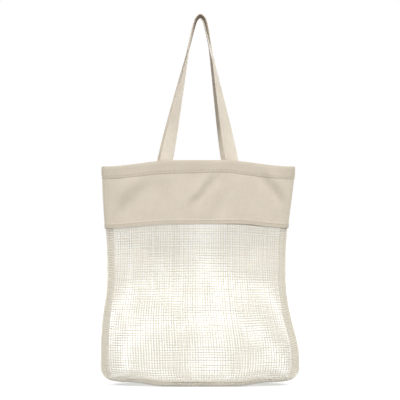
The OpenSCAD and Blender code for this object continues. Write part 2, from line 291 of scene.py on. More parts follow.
def make_piece(name, points, faces, coords, material, slot, back=False):
    """A mesh of points in millimetres. coords are each point's place in its cloth. A back piece
    is the front's, mirrored."""
    points = np.asarray(points, float).reshape(-1, 3)
    if back:
        points = points * to_back
        faces = [face[::-1] for face in faces]
    mesh = bpy.data.meshes.new(name)
    mesh.from_pydata((points * MM).tolist(), [], faces)
    place = mesh.attributes.new("cloth", "FLOAT_VECTOR", "POINT")
    place.data.foreach_set("vector", np.asarray(coords, np.float32).reshape(-1))
    mesh.polygons.foreach_set("use_smooth", [True] * len(mesh.polygons))
    mesh.set_sharp_from_angle(angle=SMOOTH_BELOW)
    mesh.update()
    mesh.materials.append(material)
    piece = add_object(name, mesh)
    return piece


def on_bag(piece, node):
    """The piece stands in for a node of the bag itself."""
    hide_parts(node)
    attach(piece, "bag")


def ring_quads(index):
    """Quads between neighbouring rings of points, from the points' numbers: (..., rings, sides)."""
    ahead = np.roll(index, -1, axis=-1)
    corners = [index[..., :-1, :], ahead[..., :-1, :], ahead[..., 1:, :], index[..., 1:, :]]
    return np.stack(corners, -1).reshape(-1, 4).tolist()


def tubes(centres, normals, radii, sides):
    """Closed tubes: centres and normals are (tubes, rings, 3), radii (tubes, rings)."""
    count, rings, _ = centres.shape
    along = unit(np.gradient(centres, axis=1))
    side = unit(np.cross(along, normals))
    up = np.cross(side, along)
    angles = np.arange(sides) * FULL_TURN / sides
    spokes = np.cos(angles)[:, None] * up[:, :, None] + np.sin(angles)[:, None] * side[:, :, None]
    points = centres[:, :, None] + radii[:, :, None, None] * spokes
    index = np.arange(count * rings * sides).reshape(count, rings, sides)
    faces = ring_quads(index)
    for tube in index:
        faces += [tube[0, ::-1].tolist(), tube[-1].tolist()]
    step = np.linalg.norm(np.diff(centres, axis=1), axis=-1)
    length = np.concatenate([np.zeros((count, 1)), np.cumsum(step, axis=1)], axis=1)
    coords = np.zeros(points.shape)
    coords[..., 0] = length[:, :, None]
    coords[..., 1] = np.arange(sides) / sides
    coords[..., 2] = rng.random(count)[:, None, None]
    return points.reshape(-1, 3), faces, coords.reshape(-1, 3)


def gather(parts):
    """Several (points, faces, coords) as one."""
    points, faces, coords, shift = [], [], [], 0
    for p, f, c in parts:
        points.append(np.asarray(p).reshape(-1, 3))
        coords.append(np.asarray(c).reshape(-1, 3))
        faces.extend([[i + shift for i in face] for face in f])
        shift += len(points[-1])
    return np.concatenate(points), faces, np.concatenate(coords)


def sheet_solid(middle, half, u, v, layers_and_shade):
    """A sheet of cloth with a thickness, from the grid of its middle surface. u and v are the
    places of its columns and rows in the cloth, and the last argument counts the layers under each
    point, plus painted shade along lines of stitches."""
    rows, columns, _ = middle.shape
    across = np.gradient(middle, axis=1)
    along = np.gradient(middle, axis=0)
    normal = unit(np.cross(across, along))
    layers = [middle + half * normal, middle - half * normal]
    points = np.concatenate([layer.reshape(-1, 3) for layer in layers])
    size = rows * columns
    index = np.arange(size).reshape(rows, columns)
    a, b = index[:-1, :-1], index[:-1, 1:]
    c, d = index[1:, 1:], index[1:, :-1]
    outer = np.stack([a, b, c, d], -1).reshape(-1, 4)
    inner = outer[:, ::-1] + size
    faces = outer.tolist() + inner.tolist()
    # and a wall round the edges, from one side to the other
    edges = [(index[0, :-1], index[0, 1:]), (index[-1, 1:], index[-1, :-1])]
    edges += [(index[1:, 0], index[:-1, 0]), (index[:-1, -1], index[1:, -1])]
    for i, j in edges:
        faces += np.stack([i, i + size, j + size, j], -1).tolist()
    flat = np.stack(np.broadcast_arrays(u, v[:, None], layers_and_shade), -1)
    return points, faces, np.concatenate([flat.reshape(-1, 3)] * 2)


def stitches(starts, ends, normals, radius=0.36, proud=0.28):
    """Stitches from starts to ends, each bowed off the cloth and sunk in it at both ends."""
    t = np.array([0, 0.08, 0.28, 0.5, 0.72, 0.92, 1])
    height = np.array([-0.45, 0.0, 0.85, 1, 0.85, 0.0, -0.45]) * proud
    thick = np.array([0.55, 0.85, 1, 1, 1, 0.85, 0.55]) * radius
    centres = starts[:, None] + (ends - starts)[:, None] * t[:, None]
    centres = centres + normals[:, None] * height[:, None]
    rings = np.broadcast_to(normals[:, None], centres.shape)
    return tubes(centres, rings, np.broadcast_to(thick, centres.shape[:2]), sides=6)


def stitched_line(path, normal, pitch=4.0, length=3.1, **size):
    """A row of stitches along a path of close points, with the cloth's normal at each."""
    arc = distances(path)
    starts = np.arange(pitch / 2, arc[-1] - length, pitch)
    starts = starts + rng.uniform(-0.12, 0.12, len(starts))

    def at(s, values):
        return np.stack([np.interp(s, arc, values[:, k]) for k in range(3)], -1)

    middle = at(starts + length / 2, normal)
    return stitches(at(starts, path), at(starts + length, path), unit(middle), **size)


# ---- materials


class Shader:
    """A material under construction: small helpers round its node tree."""

    def __init__(self, name):
        self.material = bpy.data.materials.new(name)
        self.material.use_nodes = True
        self.tree = self.material.node_tree
        self.shader = self.tree.nodes["Principled BSDF"]

    def connect(self, node, inputs):
        """Sets inputs, by their names or numbers, to constants or to other nodes' outputs."""
        for key, value in inputs.items():
            if isinstance(value, bpy.types.NodeSocket):
                self.tree.links.new(value, node.inputs[key])
            elif value is not None:
                node.inputs[key].default_value = value
        return node

    def node(self, kind, values=(), **settings):
        made = self.tree.nodes.new("ShaderNode" + kind)
        for key, value in settings.items():
            setattr(made, key, value)
        return self.connect(made, dict(enumerate(values)))

    def calc(self, operation, *values, clamp=False):
        return self.node("Math", values, operation=operation, use_clamp=clamp).outputs[0]

    def place(self):
        """The cloth's own coordinates as a vector, and then its parts: u across and v along in
        millimetres, and a third value."""
        attribute = self.node("Attribute", attribute_name="cloth")
        split = self.node("SeparateXYZ", [attribute.outputs["Vector"]])
        return attribute.outputs["Vector"], split.outputs[0], split.outputs[1], split.outputs[2]

    def noise(self, vector, scale, detail=2.0, roughness=0.5):
        # the second input isn't used in three dimensions
        return self.node("TexNoise", [vector, None, scale, detail, roughness]).outputs["Fac"]

    def stretched(self, u, v, across, along):
        parts = [self.calc("MULTIPLY", u, across), self.calc("MULTIPLY", v, along)]
        return self.node("CombineXYZ", parts).outputs[0]

    def blend(self, factor, first, second):
        made = self.node("Mix", [factor], data_type="RGBA")
        for key, colour in ((6, first), (7, second)):
            opaque = colour if isinstance(colour, bpy.types.NodeSocket) else (*colour, 1)
            self.connect(made, {key: opaque})
        return made.outputs[2]

    def finish(self, colour, height, roughness, strength, distance, sheen=0.25):
        """Wires colour, bump and roughness up. height is in units of distance, in metres."""
        bump = self.node("Bump")
        self.connect(bump, {"Strength": strength, "Distance": distance, "Height": height})
        self.connect(self.shader, {
            "Normal": bump.outputs[0],
            "Base Color": colour,
            "Roughness": roughness,
            "Specular IOR Level": 0.2,
            "Sheen Weight": sheen,
            "Sheen Roughness": 0.6,
            "Sheen Tint": (1.0, 0.95, 0.88, 1),
        })
        return self.material


def weave(s, u, v, pitch):
    """Height of a plain weave, from 0 in the gaps to 2 on the crowns of the yarns."""
    across = s.calc("SINE", s.calc("MULTIPLY", u, math.pi / pitch))
    along = s.calc("SINE", s.calc("MULTIPLY", v, math.pi / pitch))
    checker = s.calc("MULTIPLY", across, along)
    warp = s.calc("ADD", s.calc("ABSOLUTE", across), checker)
    weft = s.calc("SUBTRACT", s.calc("ABSOLUTE", along), checker)
    return s.calc("MAXIMUM", warp, weft)


def canvas_material(name, dark, light, fleck, pitch):
    """Unbleached cotton canvas: plain weave, uneven yarns, faint blotches and seed flecks."""
    s = Shader(name)
    vector, u, v, layers_and_shade = s.place()
    height = weave(s, u, v, pitch)
    warp = s.noise(s.stretched(u, v, 1 / pitch, 0.03), 1.0, 1.0)
    weft = s.noise(s.stretched(u, v, 0.03, 1 / pitch), 1.0, 1.0)
    cloud = s.noise(vector, 0.021, 3.0, 0.6)
    creases = s.noise(vector, 0.09, 4.0, 0.65)
    yarns = s.calc("MULTIPLY", s.calc("ADD", warp, weft), 0.5)
    tone = s.calc("MULTIPLY_ADD", yarns, 0.45, s.calc("MULTIPLY_ADD", cloud, 0.45, -0.145))
    # painted shade: the gaps between the yarns are darker, the crowns lighter
    tone = s.calc("MULTIPLY_ADD", height, 0.16, tone)
    # painted shade: the hollows of the small creases are darker, their ridges lighter
    tone = s.calc("MULTIPLY_ADD", creases, 0.22, s.calc("SUBTRACT", tone, 0.11), clamp=True)
    colour = s.blend(tone, dark, light)
    specks = s.noise(s.stretched(u, v, 0.62, 0.3), 1.0, 3.0, 0.7)
    shown = s.calc("MULTIPLY", s.calc("SUBTRACT", specks, 0.7), 8.0, clamp=True)
    colour = s.blend(shown, colour, fleck)
    # less light comes through where the cloth lies double, and painted shade darkens the lines of
    # stitches
    colour = s.blend(s.calc("MULTIPLY", layers_and_shade, 0.42, clamp=True), colour, dark)
    relief = s.calc("MULTIPLY_ADD", creases, 1.6, height)
    roughness = s.calc("MULTIPLY_ADD", height, -0.05, 0.95)
    return s.finish(colour, relief, roughness, 0.55, 0.00022)


def yarn_material(name, dark, light, twist, strength=0.5):
    """Soft twisted cotton yarn: plies that wind round it, each yarn a little off in colour."""
    s = Shader(name)
    _, u, v, own = s.place()
    turns = s.calc("MULTIPLY_ADD", u, 1 / twist, v)
    plies = s.calc("SINE", s.calc("MULTIPLY", turns, 2 * FULL_TURN))
    apart = s.node("CombineXYZ", [u, v, s.calc("MULTIPLY", own, 50)]).outputs[0]
    fuzz = s.noise(apart, 1.1, 3.0, 0.7)
    # painted shade: the tone follows the relief, darker in the grooves between the plies and in the
    # low parts of the fuzz
    tone = s.calc("MULTIPLY_ADD", plies, 0.22, s.calc("MULTIPLY_ADD", fuzz, 0.5, 0.15))
    tone = s.calc("MULTIPLY_ADD", own, 0.35, tone, clamp=True)
    colour = s.blend(tone, dark, light)
    relief = s.calc("MULTIPLY_ADD", fuzz, 0.8, plies)
    roughness = s.calc("MULTIPLY_ADD", fuzz, 0.12, 0.82)
    return s.finish(colour, relief, roughness, strength, 0.00018, sheen=0.4)


# The brown of the painted shade on the inner face of a strap near its top
PAINTED_SHADE_BROWN = (0.26, 0.20, 0.145)


def tape_material(name, dark, light, pitch, chevron):
    """Woven cotton tape: a herringbone twill whose diagonals turn back at each chevron. Its third
    value is how much painted shade darkens it towards brown."""
    s = Shader(name)
    vector, u, v, painted_shade = s.place()
    zigzag = s.calc("PINGPONG", s.calc("ADD", u, 50.0), chevron)
    line = s.calc("ADD", zigzag, v)
    twill = s.calc("SINE", s.calc("MULTIPLY", line, FULL_TURN / pitch))
    ribs = s.calc("SINE", s.calc("MULTIPLY", u, FULL_TURN / (pitch * 0.8)))
    height = s.calc("MULTIPLY_ADD", ribs, 0.35, twill)
    cloud = s.noise(vector, 0.05, 3.0, 0.6)
    yarns = s.noise(s.stretched(u, v, 1.5, 0.04), 1.0, 1.0)
    # painted shade: the grooves of the twill are darker, its ridges lighter
    tone = s.calc("MULTIPLY_ADD", height, 0.12, s.calc("MULTIPLY_ADD", cloud, 0.6, -0.1))
    tone = s.calc("MULTIPLY_ADD", yarns, 0.6, tone, clamp=True)
    colour = s.blend(tone, dark, light)
    # painted shade: the third value darkens the tape towards brown
    colour = s.blend(painted_shade, colour, PAINTED_SHADE_BROWN)
    roughness = s.calc("MULTIPLY_ADD", height, -0.03, 0.9)
    return s.finish(colour, height, roughness, 0.3, 0.00012)


canvas = canvas_material(
    "natural_canvas",
    dark=(0.46, 0.405, 0.325),
    light=(0.73, 0.655, 0.55),
    fleck=(0.27, 0.18, 0.10),
    pitch=0.9,
)
net_yarn = yarn_material(
    "net_yarn", dark=(0.72, 0.685, 0.585), light=(0.93, 0.90, 0.815), twist=3.2
)
webbing = tape_material(
    "strap_webbing", dark=(0.48, 0.42, 0.34), light=(0.72, 0.66, 0.57), pitch=1.5, chevron=4.2
)
binding = tape_material(
    "binding_tape", dark=(0.76, 0.71, 0.62), light=(0.93, 0.89, 0.81), pitch=1.1, chevron=2.2
)
cotton_thread = yarn_material(
    "cotton_thread", dark=(0.52, 0.46, 0.36), light=(0.76, 0.70, 0.60), twist=1.2, strength=0.4
)


def bag_thread(name, node, rows, back=False):
    """Rows of stitches that stand in for a node of the bag itself."""
    on_bag(make_piece(name, *gather(rows), cotton_thread, "thread", back), node)


# ---- net


def share_tables():
    """Tables of turn and level at even shares of the cloth's length across and up a panel."""
    fine_turn = np.linspace(-QUARTER, QUARTER, 361)
    fine_up = np.linspace(0, 1, 261)
    shares = np.linspace(0, 1, 181)
    turn, up = np.meshgrid(fine_turn, fine_up)
    top = wall_level(band_edge_line(turn) + NET_OVERLAP)
    points = body_point(turn, up * top)
    even_turn = np.zeros((len(fine_up), len(shares)))
    for row, line in enumerate(points):
        arc = distances(line)
        even_turn[row] = np.interp(shares, arc / arc[-1], fine_turn)
    top = wall_level(band_edge_line(even_turn) + NET_OVERLAP)
    level = fine_up[:, None] * top
    points = body_point(even_turn, level)
    turn_table, level_table = np.zeros((2, len(fine_up), len(shares)))
    for column in range(len(shares)):
        arc = distances(points[:, column])
        place = np.interp(fine_up, arc / arc[-1], fine_up)
        turn_table[:, column] = np.interp(place, fine_up, even_turn[:, column])
        level_table[:, column] = np.interp(place, fine_up, level[:, column])
    return turn_table, level_table


turn_table, level_table = share_tables()


def look_up(table, across, up):
    """A table's value at shares across and up, between its rows and columns."""
    rows, columns = table.shape
    c = np.clip(across, 0, 1) * (columns - 1)
    r = np.clip(up, 0, 1) * (rows - 1)
    c0 = np.minimum(c.astype(int), columns - 2)
    r0 = np.minimum(r.astype(int), rows - 2)
    c, r = c - c0, r - r0
    low = mix(table[r0, c0], table[r0, c0 + 1], c)
    high = mix(table[r0 + 1, c0], table[r0 + 1, c0 + 1], c)
    return mix(low, high, r)


NET_COLUMNS = 82
NET_ROWS = 74
KNOT_RADIUS = 0.92
YARN_RADIUS = 0.66
# How far a yarn passes over or under another, from the net's middle
CROSSING = 0.4
# How unevenly the yarns are spaced, and how far the net sways, in shares of a panel
UNEVENNESS = 0.0006
SWAY_ACROSS = 0.0042
SWAY_UP = 0.0052
# How far the bottom seam and the band's lower fold draw the net in
BOTTOM_PULL = 1.0
BAND_PULL = 0.55


def sway(seed, across, up):
    """Small shifts of the net's points along the cloth, as hand-hung net has."""
    own = np.random.default_rng(seed)
    shift = np.zeros(np.broadcast(across, up).shape)
    for _ in range(5):
        a, b = own.uniform(-3.5, 3.5, 2)
        height = own.uniform(0.4, 1)
        phase = own.uniform(0, FULL_TURN)
        shift = shift + height * np.sin(FULL_TURN * (a * across + b * up) + phase)
    sides = ease(across, 0, 0.07) * ease(1 - across, 0, 0.07)
    ends = ease(up, 0, 0.07) * ease(1 - up, 0, 0.1)
    return shift * sides * ends / 6


def yarn_rings(crossings, with_ends):
    """Rings along a yarn, at its crossings and halfway between them: their shares of its length,
    which way they pass the other yarn, and their radii. with_ends adds a ring at both ends."""
    count = 2 * len(crossings) - 1
    shares = np.empty(count)
    shares[::2] = crossings
    shares[1::2] = (crossings[1:] + crossings[:-1]) / 2
    signs = np.zeros(count)
    signs[::2] = (-1.0) ** np.arange(len(crossings))
    radii = np.full(count, YARN_RADIUS)
    radii[::2] = KNOT_RADIUS
    if with_ends:
        shares = np.concatenate([[0], shares, [1]])
        signs = np.concatenate([[0], signs, [0]])
        radii = np.concatenate([[YARN_RADIUS], radii, [YARN_RADIUS]])
    return shares, signs, radii


def net_panel(name, node, folds, seed, back):
    own = np.random.default_rng(seed)
    columns = np.arange(NET_COLUMNS) / (NET_COLUMNS - 1)
    rows = (np.arange(NET_ROWS) + 0.35) / (NET_ROWS - 0.3)
    inner = np.ones(NET_COLUMNS)
    inner[[0, -1]] = 0
    columns = columns + own.normal(0, UNEVENNESS, NET_COLUMNS) * inner
    rows = rows + own.normal(0, UNEVENNESS, NET_ROWS)
    across_seed, up_seed = own.integers(1, 9999, 2)

    def places(across, up):
        """Points and normals of the net's middle at shares across and up."""
        a = across + SWAY_ACROSS * sway(across_seed, across, up)
        u = up + SWAY_UP * sway(up_seed, across, up)
        turn, level = look_up(turn_table, a, u), look_up(level_table, a, u)
        turn = np.where(across <= 0, -QUARTER, np.where(across >= 1, QUARTER, turn))
        point = body_point(turn, level)
        drawn_in = BOTTOM_PULL * (1 - ease(point[..., 2], 1, 22))
        drawn_in = drawn_in + BAND_PULL * ease(up, 0.955, 0.972)
        normal = body_normal(turn, level)
        stand = folds(point[..., 0], point[..., 2]) - drawn_in
        return point + stand[..., None] * normal, normal

    def yarns(across, up, direction, signs, radii):
        """Yarns that pass over and under by turns. direction tells the two sets apart."""
        points, normals = places(across, up)
        count = len(points)
        over = direction * (-1.0) ** np.arange(count)
        points = points + (CROSSING * over[:, None] * signs)[..., None] * normals
        thick = radii * own.uniform(0.93, 1.07, (count, 1))
        return tubes(points, normals, thick, sides=4)

    shares, signs, radii = yarn_rings(rows, True)
    across, up = np.meshgrid(columns, shares, indexing="ij")
    uprights = yarns(across, up, 1, signs, radii)
    shares, signs, radii = yarn_rings(columns, False)
    across, up = np.meshgrid(shares, rows)
    crosses = yarns(across, up, -1, signs, radii)

    panel = make_piece(name, *gather([uprights, crosses]), net_yarn, "net", back)
    on_bag(panel, node)


net_panel("front_net", "front_mesh_panel", front_folds, 21, False)
net_panel("back_net", "back_mesh_panel", back_folds, 22, True)

# ---- canvas band

CANVAS_HALF = 0.4
# Offsets of the middles of the band's layers: the face, the face over the lower fold, the layer
# turned up inside that fold, and the hem's inner layer and turned-in edge
FACE = 1.4
FOLD_FACE = 2.15
TURNED_UP = 1.3
HEM_INNER = -0.5
HEM_TURNED = 0.45
# Where the lines of stitches run: above the lower edge, and below the rim
FOLD_LINE = 5.5
HEM_LINE = 21.5
# The face runs between the lower fold and the hem, and the hem's inner layer ends at HEM_END
FACE_START = 10.2
FACE_END = 26.5
HEM_END = 24.1
# How much the hem's two layers under it lift the face
HEM_LIFT = 0.95
# How deep the thread sinks in the lower fold, in the hem and on the hem's inside
FOLD_GROOVE = 0.42
HEM_GROOVE = 0.6
INNER_GROOVE = 0.25
# The thread's pull draws the cloth into small waves along a line of stitches
PUCKER = 0.2
# Between these distances from a side seam, the cloth comes down off the seam's allowance
ALLOWANCE_EDGE = (9.5, 11.5)
# A height about halfway up the band, where its columns are spaced
BAND_MIDDLE = 380


def hem_wave(x):
    """Hand-sewn unevenness of the hem's depth across the bag."""
    return 1.3 * np.sin(x / 31 + 1.1) * np.exp(-((x - 70) / 90) ** 2) + 0.8 * np.sin(x / 47 - 0.6)


def edge_wave(x):
    """The lower edge rides a little higher towards the bag's right."""
    return 1.6 * ease(x, -150, 120) + 1.4 * np.exp(-((x - 100) / 34) ** 2) - 0.8


def groove(depth, distance, line, width):
    """How deep the cloth is drawn in at a distance, by the thread along a line."""
    return depth * math.exp(-(((distance - line) / width) ** 2))


def turned_rows(share, edge, inwards, first, second, angles, waved):
    """Rows where the cloth turns back on itself at an edge, from one offset to another."""
    radius = abs(second - first) / 2
    rows = []
    for angle in np.radians(angles):
        past = edge + inwards * (radius - radius * math.sin(angle))
        offset = (first + second) / 2 + (first - second) / 2 * math.cos(angle)
        rows.append((share, past, offset, waved))
    return rows


def band_profile():
    """Rows of the band from the turned-up layer, round the lower fold, up the face, over the
    rim and down the hem. Each row: share from the lower edge to the rim, the distance past it,
    the offset, and how far the row follows the hem's wave."""
    rows = [(0, d, TURNED_UP, 0) for d in (8, 6, 4, 2, 0.8)]
    rows += turned_rows(0, 0, 1, TURNED_UP, FOLD_FACE, (20, 50, 90, 130, 160), 0)
    for d in (0.8, 1.6, 2.6, 3.6, 4.3, 4.9, 5.5, 6.1, 6.7, 7.3):
        rows.append((0, d, FOLD_FACE - groove(FOLD_GROOVE, d, FOLD_LINE, 0.8), 0))
    for d, share in ((7.9, 0.25), (8.5, 0.7), (9.2, 0.95), (FACE_START, 1)):
        rows.append((0, d, mix(FOLD_FACE, FACE, share), 0))
    for share in np.linspace(0, 1, 36)[1:-1]:
        rows.append((share, mix(FACE_START, -FACE_END, share), FACE, share))
    over_hem = (FACE_END, 25.6, 25.0, 24.4, 23.6, 22.8, 22.2, 21.5, 20.8, 20.2, 19.4, 18, 16, 14)
    for d in over_hem + (12, 10, 8, 6, 4, 2.5, 1.4):
        lift = HEM_LIFT * float(ease(-d, -25.6, -24.2)) * float(ease(d, 0, 6))
        offset = FACE + lift - groove(HEM_GROOVE, d, HEM_LINE, 1.0)
        rows.append((1, -d, offset, float(ease(d, 8, 16))))
    rim_angles = (15, 45, 75, 90, 105, 135, 165)
    rows += turned_rows(1, -CANVAS_HALF, -1, FACE, HEM_INNER, rim_angles, 0)
    for d in (2, 4, 7, 10, 13, 16, 18, 19.4, 20.2, 20.8, 21.5, 22.2, 22.8, 23.6):
        offset = HEM_INNER + groove(INNER_GROOVE, d, HEM_LINE, 0.8)
        rows.append((1, -d, offset, float(ease(d, 8, 16))))
    rows += turned_rows(1, -HEM_END, 1, HEM_INNER, HEM_TURNED, (20, 55, 90, 125, 160), 1)
    rows += [(1, -d, HEM_TURNED, 1) for d in (22, 19, 16.5)]
    return rows


def on_allowance(from_seam):
    """1 where the band lies over a side seam's allowance, and 0 beyond it."""
    return 1 - ease(from_seam, *ALLOWANCE_EDGE)


def layers_and_shade_at(share, past, from_seam):
    """How many more layers lie there: in the hem, the lower fold and the seams' allowances. Along
    the hem's and the lower fold's lines of stitches, painted shade darkens the cloth like part of a
    layer, where the thread draws it down into a groove."""
    layers = 0.9 * on_allowance(from_seam)
    if share == 1:
        # painted shade along the hem's line of stitches
        layers = layers + ease(past, -25.4, -24) + groove(0.9, past, -23, 2)
    if share == 0:
        # painted shade along the lower fold's line of stitches
        layers = layers + 1 - ease(past, 7.6, 9) + groove(0.5, past, FOLD_LINE, 1.2)
    return layers


def even_turns(count, z):
    """Turns at even steps along the cloth at a height, and their distances along it."""
    fine = np.linspace(-QUARTER, QUARTER, 1441)
    arc = distances(body_point(fine, np.full(fine.shape, wall_level(z))))
    places = np.linspace(0, 1, count)
    # closer together by the seams, where the cloth turns in
    places = places - 0.011 * np.sin(FULL_TURN * places)
    return np.interp(places, arc / arc[-1], fine), places * arc[-1]


BAND_COLUMNS = 206
band_turns, band_arc = even_turns(BAND_COLUMNS, BAND_MIDDLE)
band_from_seam = np.minimum(band_arc, band_arc[-1] - band_arc)


def band_place(share, past, offset, waved, folds):
    """Points and normals of the band on a row of its profile."""
    x_there = body_point(band_turns, np.full(band_turns.shape, wall_level(BAND_MIDDLE)))[..., 0]
    low = band_edge_line(band_turns) + edge_wave(x_there)
    z = mix(low, rim_line(band_turns), share) + past + waved * hem_wave(x_there)
    seam_crease = -1.15 * np.clip(1 - band_from_seam / 5, 0, 1) ** 2
    allowance = 0.85 * on_allowance(band_from_seam)
    line = -HEM_LINE if share == 1 else FOLD_LINE
    near_line = groove(1, past, line, 5) if share in (0, 1) else 0
    pucker = PUCKER * near_line * np.sin(x_there * 0.74 + 1.4 * np.sin(x_there / 17))
    stand = offset + seam_crease + allowance + pucker
    point, normal = off_surface(band_turns, wall_level(z), folds, stand)
    # the two bands meet at the side seams
    closing = np.clip(1 - band_from_seam / 3, 0, 1)
    point[..., 1] = point[..., 1] + closing * (SEAM_GAP - 0.03)
    return point, normal


def canvas_band(name, node, folds, back):
    profile = band_profile()
    middle = np.array([band_place(*row, folds)[0] for row in profile])
    v = distances(middle[:, BAND_COLUMNS // 2])
    layers_and_shade = np.array([layers_and_shade_at(share, past, band_from_seam) for share, past, _, _ in profile])
    solid = sheet_solid(middle, CANVAS_HALF, band_arc, v, layers_and_shade)
    band = make_piece(name, *solid, canvas, "canvas", back)
    on_bag(band, node)


canvas_band("front_band", "front_canvas_band", front_folds, False)
canvas_band("back_band", "back_canvas_band", back_folds, True)


def band_stitches(name, node, folds, back, rows):
    """Rows of stitches on the band: each is (share, past, offset, waved, side)."""
    parts = []
    shown = band_from_seam > 2
    for share, past, offset, waved, side in rows:
        point, normal = band_place(share, past, offset, waved, folds)
        parts.append(stitched_line(point[shown], side * normal[shown]))
    bag_thread(name, node, parts, back)


# How far inside the turned-up layer the lower fold's stitches show, on the net
NET_AND_THREAD = 1.6
HEM_ROWS = [
    (1, -HEM_LINE, FACE + HEM_LIFT - HEM_GROOVE + CANVAS_HALF, 1, 1),
    (1, -HEM_LINE, HEM_INNER + INNER_GROOVE - CANVAS_HALF, 1, -1),
]
EDGE_ROWS = [
    (0, FOLD_LINE, FOLD_FACE - FOLD_GROOVE + CANVAS_HALF, 0, 1),
    (0, FOLD_LINE, TURNED_UP - CANVAS_HALF - NET_AND_THREAD, 0, -1),
]
for line, rows in (("hem", HEM_ROWS), ("band_edge", EDGE_ROWS)):
    for label, folds, back in (("front", front_folds, False), ("back", back_folds, True)):
        name = f"{label}_{line}_stitches"
        band_stitches(name, f"{label}_{line}_stitching", folds, back, rows)

# ---- seams

# The folded tape's cross-section: how far in from the seam, and how far to one side
TAPE_OUTER = [
    (0, 0.62), (0.6, 0.9), (2, 1.05), (5, 1.25),
    (9, 1.2), (11.6, 1.05), (12.7, 0.65), (13, 0),
]
TAPE_INNER = [
    (12.4, 0), (12.1, 0.3), (11.3, 0.5), (9, 0.6),
    (5, 0.65), (2, 0.4), (0.7, 0.14), (0, 0.08),
]


def tape_section():
    """The closed outline of the folded tape, round from one raw edge to the other."""
    outer = [(w, -d) for w, d in TAPE_OUTER] + [(w, d) for w, d in TAPE_OUTER[-2::-1]]
    inner = [(w, d) for w, d in TAPE_INNER[::-1]] + [(w, -d) for w, d in TAPE_INNER[1:]]
    return np.array(outer + inner, float)


def folded_tape(origins, inwards, sideways):
    """A folded tape along a path of places, and its two directions at each."""
    section = tape_section()
    rings, sides = len(origins), len(section)
    across, out = section[:, 0, None], section[:, 1, None]
    points = origins[:, None] + across * inwards[:, None] + out * sideways[:, None]
    faces = ring_quads(np.arange(rings * sides).reshape(rings, sides))
    last = (rings - 1) * sides
    # both ends are closed by quads across the fold, from its raw edges to its middle
    for k in range(sides // 2 - 1):
        a, b = k, k + 1
        c, d = sides - 2 - k, sides - 1 - k
        faces.append([d, c, b, a])
        faces.append([last + a, last + b, last + c, last + d])
    v = distances(origins)
    u = distances(section)
    coords = np.stack(np.broadcast_arrays(u, v[:, None], 0.0), -1)
    return points.reshape(-1, 3), faces, coords.reshape(-1, 3)


SEAM_TOP = float(rim_line(QUARTER)) - HEM_HEIGHT - 1
NET_TOP = float(band_edge_line(QUARTER)) + NET_OVERLAP
# How far the tape stands off its middle, under the thread, and how far in from its open edge
TAPE_FACE = 1.08
TAPE_LINE = 2
BOTTOM_TAPE_HEIGHT = 2 * NET_HALF + 3.15


def seam_path(side, in_net, in_band, start):
    """Points along a side seam and the outward direction at each, in the bag's middle plane.
    in_net and in_band are how far they stand off the middle surface there."""
    low = np.arange(start, 2, 0.02)
    wall = wall_level(np.arange(BULGE_HEIGHT, SEAM_TOP, 2.5))
    level = np.concatenate([low, wall])
    turn = np.full(level.shape, side * QUARTER)
    normal = body_normal(turn, level)
    normal[:, 1] = 0
    normal = unit(normal)
    offset = mix(in_net, in_band, ease(level_height(level), NET_TOP, NET_TOP + 6))
    point = body_point(turn, level) + offset[:, None] * normal
    point[:, 1] = 0
    return point, normal


def bound_seam(label, edge, inwards, sideways, first_face):
    """The tape of a seam along its open edge, and its two rows of stitches, which are returned."""
    solid = folded_tape(edge, inwards, sideways)
    tape = make_piece(f"{label}_seam_tape", *solid, binding, "seam_tape")
    on_bag(tape, f"{label}_seam_binding")
    rows = []
    for facing in (first_face, -first_face):
        line = edge + TAPE_LINE * inwards + TAPE_FACE * facing
        rows.append(stitched_line(line, facing, radius=0.3, proud=0.22))
    return rows


def side_seam(label, side):
    point, normal = seam_path(side, in_net=-1.2, in_band=0.3, start=1.16)
    z = point[:, 2]
    bend = 0.7 * np.sin(z / 29 + side) * ease(z, 15, 60) * (1 - ease(z, 280, 310))
    point[:, 1] = bend
    front = np.tile([0, -1.0, 0], (len(point), 1))
    rows = bound_seam(label, point, -normal, -side * front, front)
    # and the line of stitches where the edges of the two panels meet
    edge, out = seam_path(side, in_net=0.5, in_band=1.6, start=1.1)
    rows.append(stitched_line(edge, out, radius=0.32, proud=0.2))
    bag_thread(f"{label}_seam_stitches", f"{label}_seam_stitching", rows)


side_seam("left", -1)
side_seam("right", 1)


def bottom_seam():
    low, high = box_mm("bottom_seam_binding")
    x = np.linspace(low[0], high[0], 117)
    wavy = 0.5 * np.sin(x / 23)
    edge = np.stack([x, low[1] + wavy, BOTTOM_TAPE_HEIGHT + corner_rise(x)], -1)
    inwards = np.tile([0, 1.0, 0], (len(x), 1))
    up = np.tile([0, 0, 1.0], (len(x), 1))
    rows = bound_seam("bottom", edge, inwards, -up, up)
    bag_thread("bottom_seam_stitches", "bottom_seam_stitching", rows)


bottom_seam()

# ---- handles

STRAP_WIDTH = 25
STRAP_HALF = 0.8
SEWN_LENGTH = 26
# From a sewn end's top to the hinge
END_GAP = 0.8
# Radius of the bend at the top
TOP_BEND = 12
# The straps turn sideways on their way up, most of it early, and a little past square
TURN_POWER = 1.8
OVERTURN = math.radians(9)
# How far from a strap's middle its edge stitches run
EDGE_LINE = 10
# The inner face of a strap is darkened near the top by painted shade, and has a part of the weave
# of its own
PAINTED_SHADE_AMOUNT = 0.92
PAINTED_SHADE_LENGTH = 105
INNER_FACE_U = 30
# The top of a handle is drawn in by this share, over about this length
PINCH = 0.45
PINCH_LENGTH = 9
# How far a free strap's edges curl in from its middle
STRAP_CURL = 0.9
TACK_SIZE = 16.0
# Where the edge stitches and the tacks lie, above the strap's middle
EDGE_STITCH_HEIGHT = 0.56
TACK_HEIGHT = 0.84
# The gap between a sewn end and the hem it lies on
END_STANDOFF = 0.12
# How far to the bag's right each handle's top hangs
FRONT_TOP_SHIFT = 1.0
BACK_TOP_SHIFT = -1.0

